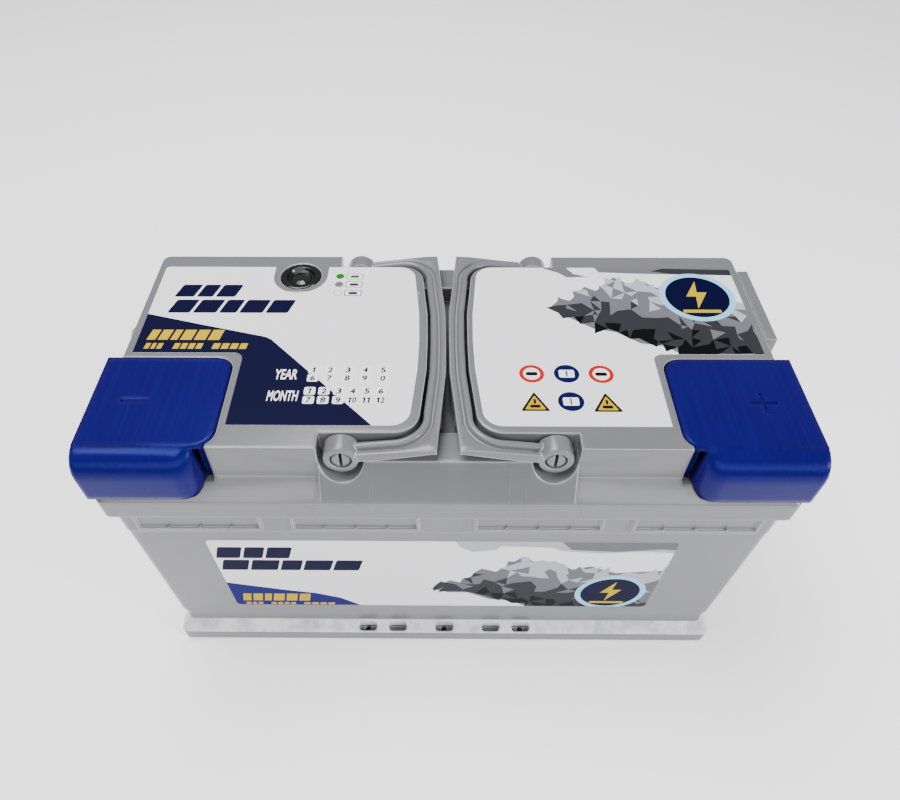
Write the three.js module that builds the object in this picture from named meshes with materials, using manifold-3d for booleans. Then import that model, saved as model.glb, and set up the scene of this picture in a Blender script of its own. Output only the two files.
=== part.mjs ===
// A 12 V flooded lead-acid battery of European box size L5, with its terminal covers fitted.
// Millimetres, +X along the battery, -Y towards its labelled long side, +Z up.
// The origin is the middle of the base.
import * as THREE from "three";
import { mergeVertices } from "three/addons/utils/BufferGeometryUtils.js";
import Module from "manifold-3d";

const wasm = await Module();
wasm.setup();

// ---------------------------------------------------------------- driving dimensions
const CASE_HALF_LENGTH = 176.5; // foot ledge and lid flange: 353 long
const CASE_HALF_WIDTH = 87.5; // 175 wide
const HEIGHT = 190; // to the top of the terminal covers
const OVERHANG_X = 179.5; // outer face of the terminal covers and of the vent cover
const GAP = 0.3; // between pieces that rest on each other
const WALL = 2.8; // moulded walls
const BEYOND = 250; // past every face, for cutters that run right through
const CELLS = 6;
const CELL_PITCH = 56.2;
const PARTITION = 2.2;

const FOOT_EDGE = 10.5; // top of the foot's upright edge
const FOOT_TOP = 18; // where the foot's slope meets the wall
const FLOOR = 3;
const RIM = 158; // top edge of the container
const WALL_Y_LOW = 81.2; // half widths of the container's drafted wall
const WALL_Y_HIGH = 84.2;
const POCKET_WIDTH = 12.5;
const POCKET_HOLE_R = 2.2;
const LOW_WALL_X = 171; // half length of the stepped-in wall just above the foot
const POCKETS_X = [-51, -31, 0, 31, 51];
const DRILLED_POCKETS_X = [-51, 0, 51];
const RIB_Z = 134; // grip ribs under the lid flange
const RIB_STROKE = 1.5;
const RIB_PROUD = 1.4;
const RIB_SPANS = [
  [14.5, 82],
  [97.5, 164],
];

const FLANGE_LOW = 146.5;
const FLANGE_HIGH = 160.2;
const SHELF_TOP = 168.6; // where the flange's slope meets the upright wall
const LID_TOP = 189.4;
const TOP_HALF_LENGTH = 172.2;
const TOP_HALF_WIDTH = 76;
const PLATEAU = 180; // sunk middle of the lid, under the handles
const PLATEAU_X = 63.3; // its half length along the long sides
const ISLAND_Y = 66; // half width of the raised areas between the handle arms
const ISLAND_X = 10.8; // distance of their inner edges from the middle
const ISLAND_CORNER = 13;
const PIT_FLOOR = 170; // dark gap between the two folded handles
const PIT_HALF_X = 20;
const PIT_HALF_Y = 58;
const WELL_FLOOR = 166.4;
const LID_CEILING = 184; // underside of the raised areas

const PIVOT_X = 52;
const PIVOT_Z = 181;
const EYE_R = 8.7;
const EYE_BORE_R = 5.4;
const EYE_Y = [67, 77.2];
const PIN_R = 4.85;
const POCKET_R = PLATEAU_X - PIVOT_X; // round-bottomed pockets that the handle eyes turn in
const WEB_STEP_X = 43.6; // where the handle's underside steps up clear of the plateau
const GRIP_WIDTH = 13; // the deeper bar that the hand holds
const GRIP_HALF_LENGTH = 52;
const GRIP_LOW = 176;

const CAP_INNER_X = 112.8;
const CAP_BACK_Y = -14.5;
const CAP_SHELL = 2;
const CAP_BEND = 12;
const CAP_LOW = 162.8; // front skirt of the covers
const CAP_CORNER_LOW = -119.5; // inner front corner at the skirt
const CAP_CORNER_HIGH = -121.8; // and at the top
const SIGN_X = 157;
const SIGN_Y = -46;
const SIGN_SPAN = 13.6;
const SIGN_STROKE = 1.7;
const SIGN_DEPTH = 0.7;

const POST_X = 143;
const POST_Y = -46;
const POST_TOP = 187.4;
const BUSHING_R = 13;
const STRAP_Y = 44;
const STRAP_Z = [138, 145];
const PLATE_Z = [9, 130];
const PLATE_HALF_WIDTH = 74;
const WELD_Z = 151;
const WELD_R = 4.6;

const VENT_Y = 28; // line of the six filling holes
const VENT_R = 9;
const COVER_SPAN = [17, 158];
const COVER_HALF_WIDTH = 13;
const COVER_THICKNESS = 2.4;
const LABEL_THICKNESS = 0.25;
const FRONT_LABEL_X = [-133, 128];
const FRONT_LABEL_Z = [39.5, 119];
const EYE_X = -86.4; // charge indicator
const INDICATOR_Y = 56.4;
const INDICATOR_R = 12;
const INDICATOR_NECK_R = 8.8;
const OUTLET_Y = 10; // gas outlets in the two ends of the lid
const OUTLET_Z = 182;
const OUTLET_R = 3.5;

// Sides of the faceted rounds.
const SEEN_SIDES = 24;
const HIDDEN_SIDES = 12;
const PIN_SIDES = 16;
const INDICATOR_SIDES = 20;

// ---------------------------------------------------------------- materials
function plastic(color, roughness) {
  return new THREE.MeshStandardMaterial({ color, roughness, metalness: 0 });
}

function metal(color, roughness) {
  return new THREE.MeshStandardMaterial({ color, roughness, metalness: 1 });
}

const CASE_GREY = plastic("#a3a3a8", 0.38);
const HANDLE_GREY = plastic("#a0a0a5", 0.42);
const COVER_BLUE = plastic("#1a2fa0", 0.25);
const LABEL_WHITE = plastic("#e4e3e8", 0.45);
const INDICATOR_BLACK = plastic("#161616", 0.3);
const LENS_DARK = plastic("#20221f", 0.05);
const BALL_GREEN = plastic("#3f8f3a", 0.3);
const SEAL_BLACK = plastic("#1b1b1b", 0.8);
const VENT_GREY = plastic("#7d8085", 0.5);
const FRIT_WHITE = plastic("#d9d6cf", 0.9);
const SEPARATOR_PALE = plastic("#c9c2ae", 0.8);
const LEAD = metal("#8d9096", 0.45);
const POSITIVE_PLATE = metal("#5b3c2c", 0.9);
const NEGATIVE_PLATE = metal("#7f8387", 0.8);

// ---------------------------------------------------------------- helpers
// A solid that can be joined to and cut by others.
function solid(geometry) {
  const bare = new THREE.BufferGeometry();
  bare.setAttribute("position", geometry.getAttribute("position"));
  bare.setIndex(geometry.index);
  const merged = mergeVertices(bare, 1e-4);
  const vertProperties = merged.attributes.position.array;
  const triVerts = new Uint32Array(merged.index.array);
  return new wasm.Manifold(new wasm.Mesh({ numProp: 3, vertProperties, triVerts }));
}

function joined(...solids) {
  return solids.reduce((whole, piece) => whole.add(piece));
}

function cut(whole, ...tools) {
  return tools.reduce((rest, tool) => rest.subtract(tool), whole);
}

function named(name, shape, material) {
  const made = shape.getMesh();
  const geometry = new THREE.BufferGeometry();
  geometry.setAttribute("position", new THREE.BufferAttribute(made.vertProperties, 3));
  geometry.setIndex(new THREE.BufferAttribute(made.triVerts, 1));
  const mesh = new THREE.Mesh(geometry, material);
  mesh.name = name;
  return mesh;
}

function box(x0, x1, y0, y1, z0, z1) {
  const geometry = new THREE.BoxGeometry(x1 - x0, y1 - y0, z1 - z0);
  return solid(geometry.translate((x0 + x1) / 2, (y0 + y1) / 2, (z0 + z1) / 2));
}

function extruded(shape, depth, steps = 6) {
  return new THREE.ExtrudeGeometry(shape, { depth, bevelEnabled: false, curveSegments: steps });
}

function outline(points) {
  return new THREE.Shape(points.map(([x, y]) => new THREE.Vector2(x, y)));
}

// A plan shape raised from z0 to z1.
function raised(shape, z0, z1, steps) {
  return solid(extruded(shape, z1 - z0, steps).translate(0, 0, z0));
}

// A section in the YZ plane drawn along X.
function alongX(points, x0, x1) {
  const turn = new THREE.Matrix4().makeBasis(
    new THREE.Vector3(0, 1, 0),
    new THREE.Vector3(0, 0, 1),
    new THREE.Vector3(1, 0, 0),
  );
  return solid(extruded(outline(points), x1 - x0).applyMatrix4(turn).translate(x0, 0, 0));
}

// A section in the XZ plane drawn along Y.
function alongY(points, y0, y1) {
  const geometry = extruded(outline(points), y1 - y0).rotateX(Math.PI / 2);
  return solid(geometry.translate(0, y1, 0));
}

function rod(x, y, z0, z1, radius, sides) {
  const geometry = new THREE.CylinderGeometry(radius, radius, z1 - z0, sides).rotateX(Math.PI / 2);
  return solid(geometry.translate(x, y, (z0 + z1) / 2));
}

function rodAlongY(x, z, y0, y1, radius, sides) {
  const geometry = new THREE.CylinderGeometry(radius, radius, y1 - y0, sides);
  return solid(geometry.translate(x, (y0 + y1) / 2, z));
}

function rodAlongX(y, z, x0, x1, radius, sides = HIDDEN_SIDES) {
  const geometry = new THREE.CylinderGeometry(radius, radius, x1 - x0, sides).rotateZ(Math.PI / 2);
  return solid(geometry.translate((x0 + x1) / 2, y, z));
}

// A body turned about a vertical axis from a profile of [radius, height] pairs.
function turned(profile, x, y, sides) {
  const points = profile.map(([radius, height]) => new THREE.Vector2(radius, height));
  const geometry = new THREE.LatheGeometry(points, sides).rotateX(Math.PI / 2);
  return solid(geometry.translate(x, y, 0));
}

// The points of an arc about (x, y), angles in degrees.
function arc(x, y, radius, from, to, steps = 4) {
  return Array.from({ length: steps + 1 }, (_, i) => {
    const angle = THREE.MathUtils.degToRad(from + ((to - from) * i) / steps);
    return [x + radius * Math.cos(angle), y + radius * Math.sin(angle)];
  });
}

function roundedRectangle(x0, x1, y0, y1, radius, steps = 3) {
  return [
    ...arc(x1 - radius, y0 + radius, radius, -90, 0, steps),
    ...arc(x1 - radius, y1 - radius, radius, 0, 90, steps),
    ...arc(x0 + radius, y1 - radius, radius, 90, 180, steps),
    ...arc(x0 + radius, y0 + radius, radius, 180, 270, steps),
  ];
}

// A closed solid through outlines of equal point counts, from the lowest to the highest.
function lofted(outlines, heights) {
  const count = outlines[0].length;
  const positions = outlines.flatMap((ring, level) => ring.flatMap(([x, y]) => [x, y, heights[level]]));
  const index = [];
  for (let level = 0; level + 1 < outlines.length; level += 1) {
    for (let i = 0; i < count; i += 1) {
      const a = level * count + i;
      const b = level * count + ((i + 1) % count);
      index.push(a, b, b + count, a, b + count, a + count);
    }
  }
  const last = (outlines.length - 1) * count;
  const asVectors = (ring) => ring.map(([x, y]) => new THREE.Vector2(x, y));
  for (const [a, b, c] of THREE.ShapeUtils.triangulateShape(asVectors(outlines[0]), [])) {
    index.push(c, b, a);
  }
  for (const [a, b, c] of THREE.ShapeUtils.triangulateShape(asVectors(outlines.at(-1)), [])) {
    index.push(last + a, last + b, last + c);
  }
  const geometry = new THREE.BufferGeometry();
  geometry.setAttribute("position", new THREE.Float32BufferAttribute(positions, 3));
  geometry.setIndex(index);
  return solid(geometry);
}

// A case-like body through centred rectangles [half length, half width, corner radius, height].
function stacked(rings) {
  const outlines = rings.map(([hx, hy, radius]) => roundedRectangle(-hx, hx, -hy, hy, radius));
  return lofted(outlines, rings.map((ring) => ring[3]));
}

function bothSides(make) {
  return joined(make(-1), make(1));
}

function sorted(a, b) {
  return [Math.min(a, b), Math.max(a, b)];
}

function cellCentre(cell) {
  return (cell - (CELLS - 1) / 2) * CELL_PITCH;
}

// ---------------------------------------------------------------- container
function container() {
  const outer = stacked([
    [CASE_HALF_LENGTH - 0.8, CASE_HALF_WIDTH - 0.8, 4, 0],
    [CASE_HALF_LENGTH, CASE_HALF_WIDTH, 4, 0.8],
    [CASE_HALF_LENGTH, CASE_HALF_WIDTH, 4, FOOT_EDGE],
    [LOW_WALL_X, WALL_Y_LOW, 4, FOOT_TOP],
    [LOW_WALL_X, WALL_Y_LOW, 5, 28],
    [172.8, WALL_Y_LOW + 0.2, 5, 30],
    [173.8, 83.3, 5, 128],
    [174, WALL_Y_HIGH - 0.3, 5, 128.6],
    [174.1, WALL_Y_HIGH, 5, RIM],
  ]);
  const shape = cut(joined(outer, gripRibs()), cellCavities(), footPockets(), weldHoles());
  return named("container", shape, CASE_GREY);
}

function cellCavities() {
  const half = (CELL_PITCH - PARTITION) / 2;
  const cavities = Array.from({ length: CELLS }, (_, cell) => {
    const x = cellCentre(cell);
    const low = roundedRectangle(x - half, x + half, -WALL_Y_LOW + WALL, WALL_Y_LOW - WALL, 2, 1);
    const high = roundedRectangle(x - half, x + half, -WALL_Y_HIGH + WALL, WALL_Y_HIGH - WALL, 2, 1);
    return lofted([low, high], [FLOOR, RIM + 1]);
  });
  return joined(...cavities);
}

function footPockets() {
  const pockets = POCKETS_X.map((x) =>
    bothSides((side) => {
      const middle = side * (CASE_HALF_WIDTH - 3.4);
      const half = POCKET_WIDTH / 2;
      const plan = roundedRectangle(x - half, x + half, middle - 2.6, middle + 2.2, 2.1, 2);
      return raised(outline(plan), FOOT_EDGE - 2.5, FOOT_TOP + 4);
    }),
  );
  const holes = DRILLED_POCKETS_X.map((x) =>
    bothSides((side) => rod(x, side * (CASE_HALF_WIDTH - 3.6), 3, FOOT_TOP, POCKET_HOLE_R, 10)),
  );
  return joined(...pockets, ...holes);
}

function weldHoles() {
  return joined(
    ...Array.from({ length: CELLS - 1 }, (_, i) => {
      const x = (cellCentre(i) + cellCentre(i + 1)) / 2;
      return rodAlongX(weldSide(i) * STRAP_Y, WELD_Z, x - PARTITION, x + PARTITION, WELD_R + GAP);
    }),
  );
}

// Four shallow frames on each long wall, open at the top.
function gripRibs() {
  const skirtInside = WALL_Y_HIGH + 0.4;
  const low = RIB_Z - RIB_STROKE;
  const frames = bothSides((side) => {
    const ends = bothSides((end) => {
      const spans = RIB_SPANS.map(([near, far]) => {
        const [x0, x1] = end < 0 ? [-far, -near] : [near, far];
        return cut(
          box(x0, x1, ...sorted(side * (WALL_Y_HIGH - 3), side * (WALL_Y_HIGH + RIB_PROUD)), low, RIM),
          box(x0 + RIB_STROKE, x1 - RIB_STROKE, ...sorted(side * WALL_Y_HIGH, side * BEYOND), RIB_Z, BEYOND),
        );
      });
      return joined(...spans);
    });
    return ends;
  });
  // The flange hangs over the frames' upper ends, so they stop short of it.
  const besideFlange = box(-BEYOND, BEYOND, -skirtInside, skirtInside, low, RIM - 1);
  const underFlange = box(-BEYOND, BEYOND, -BEYOND, BEYOND, low, FLANGE_LOW - GAP);
  return frames.intersect(joined(besideFlange, underFlange));
}

// ---------------------------------------------------------------- lid
// Plan of the sunk middle: between the two raised areas and out over both long edges.
function middlePlan() {
  const reach = TOP_HALF_WIDTH + 4;
  const corner = ISLAND_CORNER;
  const inner = ISLAND_X + 3.2;
  const quarter = [
    [PLATEAU_X, -reach],
    [PLATEAU_X, -ISLAND_Y],
    ...arc(inner + corner, -ISLAND_Y + corner, corner, 270, 186, 6),
    [ISLAND_X + 0.3, -22],
    [ISLAND_X, 0],
  ];
  const upper = quarter.slice(0, -1).reverse().map(([x, y]) => [x, -y]);
  const right = [...quarter, ...upper];
  return outline([...right, ...right.map(([x, y]) => [-x, y]).reverse()]);
}

function lidShell() {
  return stacked([
    [CASE_HALF_LENGTH - 0.8, CASE_HALF_WIDTH - 0.8, 3.6, FLANGE_LOW],
    [CASE_HALF_LENGTH, CASE_HALF_WIDTH, 3.6, FLANGE_LOW + 0.8],
    [CASE_HALF_LENGTH, CASE_HALF_WIDTH, 3.6, FLANGE_HIGH - 0.6],
    [CASE_HALF_LENGTH - 0.6, CASE_HALF_WIDTH - 0.6, 3.4, FLANGE_HIGH],
    [TOP_HALF_LENGTH + 0.8, TOP_HALF_WIDTH + 0.8, 5, SHELF_TOP],
    [TOP_HALF_LENGTH, TOP_HALF_WIDTH, 4.4, LID_TOP],
  ]);
}

// The face that runs from the plateau's edge straight down to the flange, on both long sides.
function middleSlopes() {
  return bothSides((side) => {
    const points = [
      [side * TOP_HALF_WIDTH, PLATEAU],
      [side * (TOP_HALF_WIDTH - 8), PLATEAU],
      [side * (TOP_HALF_WIDTH - 8), FLANGE_HIGH - 2],
      [side * (CASE_HALF_WIDTH - 0.6), FLANGE_HIGH - 2],
      [side * (CASE_HALF_WIDTH - 0.6), FLANGE_HIGH],
    ];
    return alongX(side < 0 ? points.reverse() : points, -PLATEAU_X, PLATEAU_X);
  });
}

// Four pockets that the handle eyes turn in, each open to its long side.
function eyePockets() {
  return bothSides((end) =>
    bothSides((side) => {
      const spanY = sorted(side * ISLAND_Y, side * CASE_HALF_WIDTH);
      const spanX = sorted(end * (PIVOT_X - POCKET_R), end * (PIVOT_X + POCKET_R));
      const below = rodAlongY(end * PIVOT_X, PIVOT_Z, ...spanY, POCKET_R, SEEN_SIDES);
      return joined(below, box(...spanX, ...spanY, PIVOT_Z, BEYOND));
    }),
  );
}

// The two wells in the front corners that the terminal covers close.
function terminalWells() {
  const clear = 0.6;
  const inner = CAP_INNER_X - clear;
  const back = CAP_BACK_Y + clear;
  const backRound = 9;
  const frontRound = 10;
  const plan = [
    ...arc(inner + backRound, back - backRound, backRound, 90, 180, 5),
    ...arc(inner + frontRound, -ISLAND_Y, frontRound, 180, 232, 4),
    [inner + 4.6, -BEYOND],
    [BEYOND, -BEYOND],
    [BEYOND, back],
  ];
  return bothSides((end) => {
    const points = end < 0 ? plan.map(([x, y]) => [-x, y]).reverse() : plan;
    return raised(outline(points), WELL_FLOOR, HEIGHT + 5);
  });
}

// The hollow inside the lid, walled off cell by cell.
function lidHollows() {
  const endWall = TOP_HALF_LENGTH - 3.6;
  const sideWall = TOP_HALF_WIDTH - 3;
  const besideCap = CAP_INNER_X - 4;
  const besideEyes = PLATEAU_X + 3.2;
  const besidePit = [17, 67, 55]; // nearest and farthest X, half width
  const low = box(-endWall, endWall, -TOP_HALF_WIDTH - 2, TOP_HALF_WIDTH + 2, RIM, WELL_FLOOR - WALL);
  const raisedParts = bothSides((end) => {
    const span = (near, far) => sorted(end * near, end * far);
    const [near, far, half] = besidePit;
    return joined(
      box(...span(besideEyes, endWall), CAP_BACK_Y + WALL + 1, sideWall, RIM, LID_CEILING),
      box(...span(besideEyes, besideCap), -sideWall, 20, RIM, LID_CEILING),
      box(...span(near, far), -half, half, RIM, LID_CEILING),
    );
  });
  const walls = Array.from({ length: CELLS - 1 }, (_, i) => {
    const x = (cellCentre(i) + cellCentre(i + 1)) / 2;
    const half = PARTITION / 2;
    return box(x - half, x + half, -CASE_HALF_WIDTH, CASE_HALF_WIDTH, RIM - 1, HEIGHT);
  });
  return cut(joined(low, raisedParts), ...walls);
}

function fillingHoles() {
  const holes = Array.from({ length: CELLS }, (_, cell) =>
    rod(cellCentre(cell), VENT_Y, LID_CEILING - 4, HEIGHT, VENT_R + 0.1, HIDDEN_SIDES),
  );
  return joined(...holes);
}

function coverRecesses() {
  const floor = LID_TOP - COVER_THICKNESS - GAP;
  return bothSides((end) => {
    const spanX = sorted(end * (COVER_SPAN[0] - GAP), end * (COVER_SPAN[1] + GAP));
    const reach = COVER_HALF_WIDTH + GAP;
    return box(...spanX, VENT_Y - reach, VENT_Y + reach, floor, HEIGHT);
  });
}

// From each end of the gas channel under the covers a passage leads out through the end wall.
function gasOutlets() {
  return bothSides((end) => {
    const spanX = sorted(end * 160, end * (TOP_HALF_LENGTH + 2));
    return rodAlongX(OUTLET_Y, OUTLET_Z, ...spanX, OUTLET_R + 0.1);
  });
}

function lid() {
  const middle = raised(middlePlan(), PLATEAU, HEIGHT + 5);
  const pitRoom = box(-PIT_HALF_X, PIT_HALF_X, -PIT_HALF_Y, PIT_HALF_Y, PIT_FLOOR, HEIGHT);
  const pit = raised(middlePlan(), PIT_FLOOR, HEIGHT).intersect(pitRoom);
  const skirtRoom = stacked([
    [174.7, WALL_Y_HIGH + 0.7, 5, FLANGE_LOW - 1],
    [174.7, WALL_Y_HIGH + 0.7, 5, RIM + GAP],
  ]);
  const pinSockets = bothSides((end) =>
    bothSides((side) => {
      const spanY = sorted(side * (ISLAND_Y - 7), side * (ISLAND_Y + 1));
      return rodAlongY(end * PIVOT_X, PIVOT_Z, ...spanY, PIN_R + 0.1, PIN_SIDES);
    }),
  );
  const bushingSeats = bothSides((end) => rod(end * POST_X, POST_Y, RIM, HEIGHT, BUSHING_R + GAP, PIN_SIDES));
  const neck = INDICATOR_NECK_R + 0.4;
  const indicatorHole = rod(EYE_X, INDICATOR_Y, RIM, HEIGHT, neck, INDICATOR_SIDES);
  const seatR = INDICATOR_R + GAP;
  const indicatorSeat = rod(EYE_X, INDICATOR_Y, LID_TOP - 2.6, HEIGHT, seatR, INDICATOR_SIDES);
  const shape = cut(
    joined(cut(lidShell(), middle), middleSlopes()),
    eyePockets(),
    pit,
    terminalWells(),
    skirtRoom,
    lidHollows(),
    coverRecesses(),
    fillingHoles(),
    gasOutlets(),
    pinSockets,
    bushingSeats,
    indicatorHole,
    indicatorSeat,
  );
  return named("lid", shape, CASE_GREY);
}

// ---------------------------------------------------------------- handles
// The left handle lies folded to the right of its pivots; the right one is its mirror image.
function handlePlan(inset) {
  const corner = 15;
  const quarter = [
    [-PIVOT_X, -EYE_Y[1]],
    [-5.6, -EYE_Y[1]],
    [-0.9, -24],
    [-0.7, 0],
  ];
  const outer = [...quarter, ...quarter.slice(0, -1).reverse().map(([x, y]) => [x, -y])];
  const inner = [
    [-PIVOT_X, -69.3 - inset],
    ...arc(-12.1 - corner + inset, -69.3 + corner, corner + inset, 270, 354, 6),
    [-9.6 + inset, -24],
    [-9.2 + inset, 0],
  ];
  const wholeInner = [...inner, ...inner.slice(0, -1).reverse().map(([x, y]) => [x, -y])];
  return outline([...outer, ...wholeInner.reverse()]);
}

function handle() {
  const ribWidth = 3.8;
  const high = HEIGHT - 0.1;
  const webTop = HEIGHT - 0.4;
  // Side view of the flat web: thin at the free corners, deep where it joins the eyes.
  const webSide = [
    [-PIVOT_X, 177],
    [-46, 178.4],
    [-WEB_STEP_X, 180.6],
    [-36, 181],
    [-8, 186.2],
    [0, 186.2],
    [0, webTop],
    [-14, 189],
    [-32, 186.8],
    [-PIVOT_X, 184.6],
  ];
  // Side view of the rounded rib along the handle's inner edge.
  const ribSide = [
    [-PIVOT_X, 177],
    [-46, 178.4],
    [-WEB_STEP_X, 180.6],
    [0, 180.6],
    [0, high],
    [-16, high],
    [-28, high - 0.8],
    [-44, 187.2],
    [-PIVOT_X, 185.6],
  ];
  const reach = EYE_Y[1] + 1;
  const whole = raised(handlePlan(0), RIM, BEYOND);
  const web = whole.intersect(alongY(webSide, -reach, reach));
  const ribPlan = cut(whole, raised(handlePlan(ribWidth), RIM - 1, BEYOND + 1));
  const rib = ribPlan.intersect(alongY(ribSide, -reach, reach));
  const gripRoom = box(-GRIP_WIDTH, 0, -GRIP_HALF_LENGTH, GRIP_HALF_LENGTH, RIM, BEYOND);
  const grip = raised(handlePlan(0), GRIP_LOW, webTop).intersect(gripRoom);
  const eyes = bothSides((side) => {
    const spanY = sorted(side * EYE_Y[0], side * EYE_Y[1]);
    return rodAlongY(-PIVOT_X, PIVOT_Z, ...spanY, EYE_R, SEEN_SIDES);
  });
  const bores = rodAlongY(-PIVOT_X, PIVOT_Z, -BEYOND, BEYOND, EYE_BORE_R, PIN_SIDES);
  return cut(joined(web, rib, grip, eyes), bores);
}

// A snap pin pressed into the lid, split by a slot across its free end.
function handlePin(side) {
  const inner = ISLAND_Y - 6.5;
  const outer = EYE_Y[1] - 0.4;
  const points = [
    [0, inner],
    [PIN_R, inner],
    [PIN_R, outer - 0.8],
    [PIN_R - 0.8, outer],
    [0, outer],
  ].map(([radius, along]) => new THREE.Vector2(radius, along));
  const geometry = new THREE.LatheGeometry(points, PIN_SIDES);
  const turn = side < 0 ? Math.PI : 0;
  const pin = solid(geometry.rotateX(turn).translate(-PIVOT_X, 0, PIVOT_Z));
  const slotY = sorted(side * (ISLAND_Y + 1.5), side * BEYOND);
  const slot = box(-PIVOT_X - 0.75, -PIVOT_X + 0.75, ...slotY, RIM, BEYOND);
  return cut(pin, slot);
}

// ---------------------------------------------------------------- terminal covers
// The cover of the left-hand terminal; inset shrinks every face for the hollow inside.
function capBody(inset) {
  const outerX = -OVERHANG_X + inset;
  const innerX = -CAP_INNER_X - inset;
  const back = CAP_BACK_Y - inset;
  const corner = 9.5 - inset;
  const low = inset ? CAP_LOW - 1 : CAP_LOW;
  const blockLow = inset ? CAP_LOW - 5 : WELL_FLOOR + 1;
  const foldY = -CASE_HALF_WIDTH + CAP_BEND;
  const block = raised(
    outline([
      [outerX, foldY],
      [innerX - corner, foldY - 0.7],
      ...arc(innerX - corner, foldY - 0.7 + corner, corner, 270, 360),
      ...arc(innerX - corner, back - corner, corner, 0, 90),
      [outerX, back],
    ]),
    blockLow,
    HEIGHT - inset,
  );
  const foldSteps = 5;
  const foldRadius = CAP_BEND - inset;
  const foldLevels = Array.from({ length: foldSteps + 1 }, (_, i) => (i / foldSteps) * (Math.PI / 2));
  const levels = [
    { height: low, front: foldRadius },
    { height: 173, front: foldRadius },
    ...foldLevels.map((angle) => ({
      height: HEIGHT - CAP_BEND + foldRadius * Math.sin(angle),
      front: foldRadius * Math.cos(angle),
    })),
  ];
  const apron = lofted(
    levels.map(({ height, front }) => {
      // The inner front corner is a wide round near the flange and tightens towards the top.
      const rise = (height - CAP_LOW) / (HEIGHT - CAP_LOW);
      const cornerX = THREE.MathUtils.lerp(CAP_CORNER_LOW, CAP_CORNER_HIGH, rise) - inset;
      const radius = THREE.MathUtils.lerp(13, 9, rise) - inset;
      const y = foldY - front;
      const depth = Math.min(radius, front + 2.6);
      const innerRound = arc(0, 0, 1, 270, 360, 6).map(([u, v]) => [
        cornerX - radius + radius * u,
        y + depth + depth * v,
      ]);
      const outerRound = arc(outerX + 2, y + 2, 2, 180, 270, 3);
      return [[outerX, foldY + 3], ...outerRound, ...innerRound, [cornerX, foldY + 3]];
    }),
    levels.map(({ height }) => height),
  );
  return joined(block, apron);
}

// The part of the sign that spans the given half sizes.
function signStroke(halfX, halfY) {
  const spanX = [-SIGN_X - halfX, -SIGN_X + halfX];
  return box(...spanX, SIGN_Y - halfY, SIGN_Y + halfY, HEIGHT - SIGN_DEPTH, BEYOND);
}

function terminalCap(positive) {
  const [long, narrow] = [SIGN_SPAN / 2, SIGN_STROKE / 2];
  // The side walls' lower edges follow the slope of the lid.
  const overSlope = alongX(
    [
      [-CASE_HALF_WIDTH + CAP_SHELL, FLANGE_LOW],
      [0, FLANGE_LOW],
      [0, WELL_FLOOR + 1],
      [-TOP_HALF_WIDTH - 3, WELL_FLOOR + 1],
      [-CASE_HALF_WIDTH + CAP_SHELL, FLANGE_HIGH + 2],
    ],
    -BEYOND,
    0,
  );
  const shell = cut(capBody(0), capBody(CAP_SHELL), overSlope, signStroke(long, narrow));
  return positive ? cut(shell, signStroke(narrow, long)) : shell;
}

// ---------------------------------------------------------------- terminals
function bushing() {
  const profile = [
    [8.6, WELL_FLOOR - 6],
    [BUSHING_R, WELL_FLOOR - 6],
    [BUSHING_R, WELL_FLOOR - 2],
    [12, WELL_FLOOR - 1.5],
    [12, WELL_FLOOR + 1.6],
    [10.5, WELL_FLOOR + 2.4],
    [8.6, WELL_FLOOR + 2.4],
    [8.6, WELL_FLOOR - 6],
  ];
  return turned(profile, -POST_X, POST_Y, PIN_SIDES);
}

// The tapered post, 1 in 9, with the pillar that carries it down to the cell's strap.
function post(topRadius) {
  const shoulder = WELL_FLOOR + 2.4 + GAP;
  const taper = (POST_TOP - shoulder) / 18;
  const profile = [
    [0, STRAP_Z[1] + GAP],
    [7, STRAP_Z[1] + GAP],
    [8.2, 160],
    [8.2, shoulder],
    [topRadius + taper, shoulder],
    [topRadius, POST_TOP - 0.8],
    [topRadius - 0.8, POST_TOP],
    [0, POST_TOP],
  ];
  return turned(profile, -POST_X, POST_Y, PIN_SIDES);
}

// ---------------------------------------------------------------- cells
// Side of the battery, front (-1) or back (+1), on which weld i passes its partition.
function weldSide(i) {
  return i % 2 === 0 ? 1 : -1;
}

// A comb of plates hanging from one strap; the strap's upright tab meets the weld or the post.
function plateGroup(cell, offsets, thickness, side, tabEnd) {
  const x = cellCentre(cell);
  const lugHalf = 6;
  const plates = offsets.map((offset) => {
    const points = [
      [-PLATE_HALF_WIDTH, PLATE_Z[0]],
      [PLATE_HALF_WIDTH, PLATE_Z[0]],
      [PLATE_HALF_WIDTH, PLATE_Z[1]],
      [side * STRAP_Y + lugHalf, PLATE_Z[1]],
      [side * STRAP_Y + lugHalf, STRAP_Z[0] + 1],
      [side * STRAP_Y - lugHalf, STRAP_Z[0] + 1],
      [side * STRAP_Y - lugHalf, PLATE_Z[1]],
      [-PLATE_HALF_WIDTH, PLATE_Z[1]],
    ];
    return alongX(points, x + offset - thickness / 2, x + offset + thickness / 2);
  });
  const reach = (CELL_PITCH - PARTITION) / 2 - 0.5;
  const strap = box(x - reach + 1.5, x + reach - 1.5, side * STRAP_Y - 7, side * STRAP_Y + 7, ...STRAP_Z);
  const tabX = x + tabEnd * reach;
  const [x0, x1] = tabEnd < 0 ? [tabX, tabX + 4] : [tabX - 4, tabX];
  const tab = box(x0, x1, side * STRAP_Y - 6, side * STRAP_Y + 6, STRAP_Z[0], WELD_Z + 5);
  return tabEnd ? joined(strap, tab, ...plates) : joined(strap, ...plates);
}

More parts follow.
